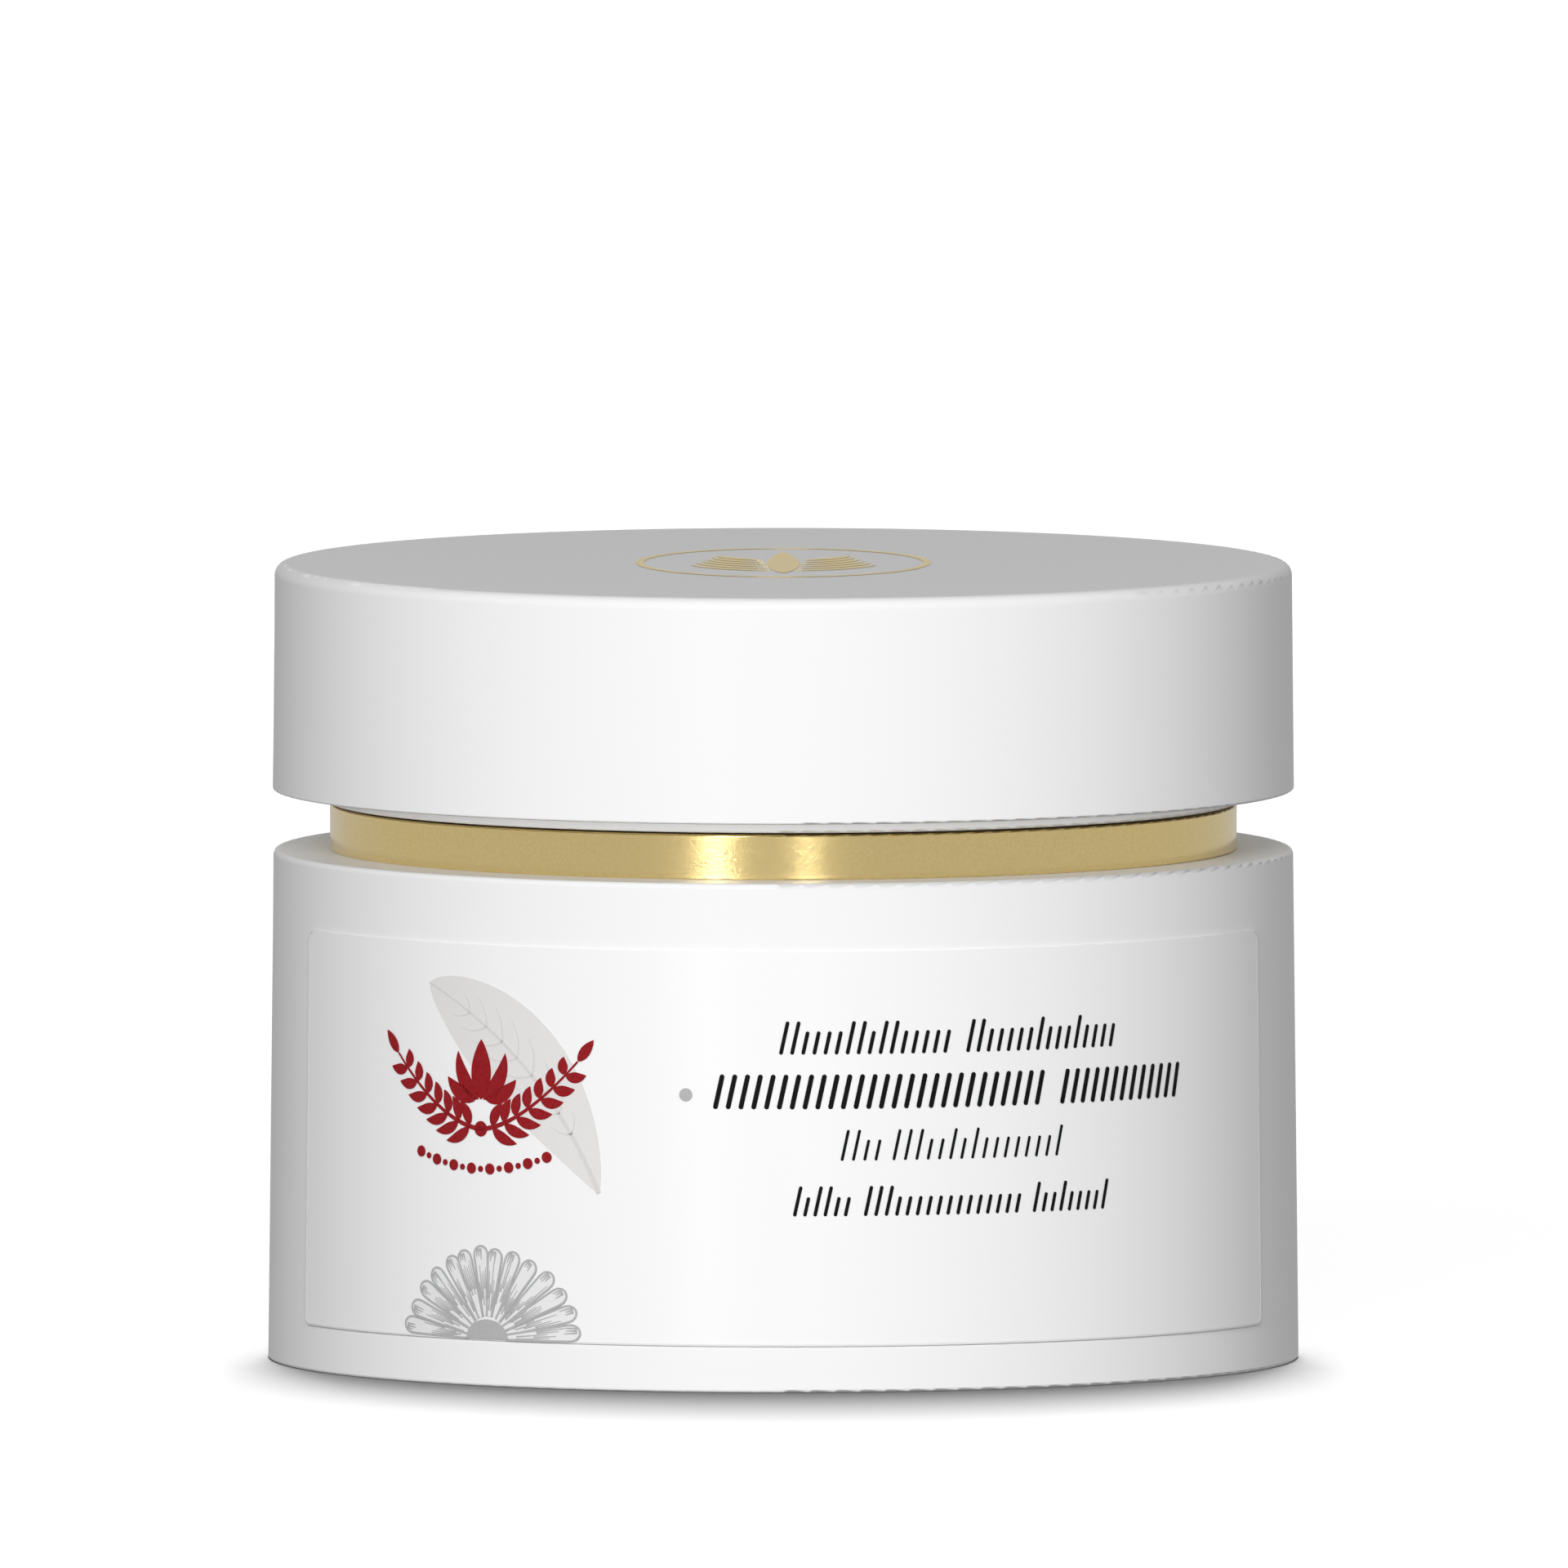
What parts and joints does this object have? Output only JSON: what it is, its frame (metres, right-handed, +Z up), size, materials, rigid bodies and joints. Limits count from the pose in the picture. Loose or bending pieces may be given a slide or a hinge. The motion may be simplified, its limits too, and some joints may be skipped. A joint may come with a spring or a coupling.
{
  "type": "cosmetic cream jar",
  "caption": "Round double-wall cream jar with a flat-topped screw lid, a gold neck ring, a threaded inner cup and a wrap-round front label.",
  "frame": {"origin": "centre of the foot, on the table plane", "axes": "+Z up along the jar's axis, -Y towards the front of the label, +X to the label's right"},
  "size_m": [0.0666, 0.0667, 0.0515],
  "materials": {
    "outer_jar": "white, satin gloss",
    "base_plate": "white, matt",
    "inner_cup": "natural white, satin",
    "gold_collar": "gold anodised, satin",
    "cream_fill": "soft cream, moist sheen",
    "front_label": "white film, semi-gloss",
    "sealing_disc": "natural white, satin",
    "cap_liner": "white closed-cell foam, matt",
    "inner_cap": "white, satin",
    "overcap": "white, satin gloss"
  },
  "bodies": {
    "jar": {"outer_jar": "outer_jar", "base_plate": "base_plate", "inner_cup": "inner_cup", "gold_collar": "gold_collar", "cream_fill": "cream_fill", "front_label": "front_label"},
    "disc": {"sealing_disc": "sealing_disc"},
    "liner": {"cap_liner": "cap_liner"},
    "lid": {"overcap": "overcap", "inner_cap": "inner_cap"}
  },
  "joints": [
    {"name": "lid_rise", "type": "slide", "parent": "jar", "child": "liner", "axis": [0, 0, 1], "range_m": [0, 0.024]},
    {"name": "lid_turn", "type": "hinge", "parent": "liner", "child": "lid", "pos_m": [0, 0, 0], "axis": [0, 0, 1], "range_deg": [0, 1080]},
    {"name": "disc_lift", "type": "slide", "parent": "jar", "child": "disc", "axis": [0, 0, 1], "range_m": [0, 0.008]}
  ],
  "couplings": [
    {"joint": "lid_rise", "follows": "lid_turn", "m_per_rad": 0.0012732},
    {"joint": "disc_lift", "follows": "lid_turn", "m_per_rad": 0.0004244}
  ]
}
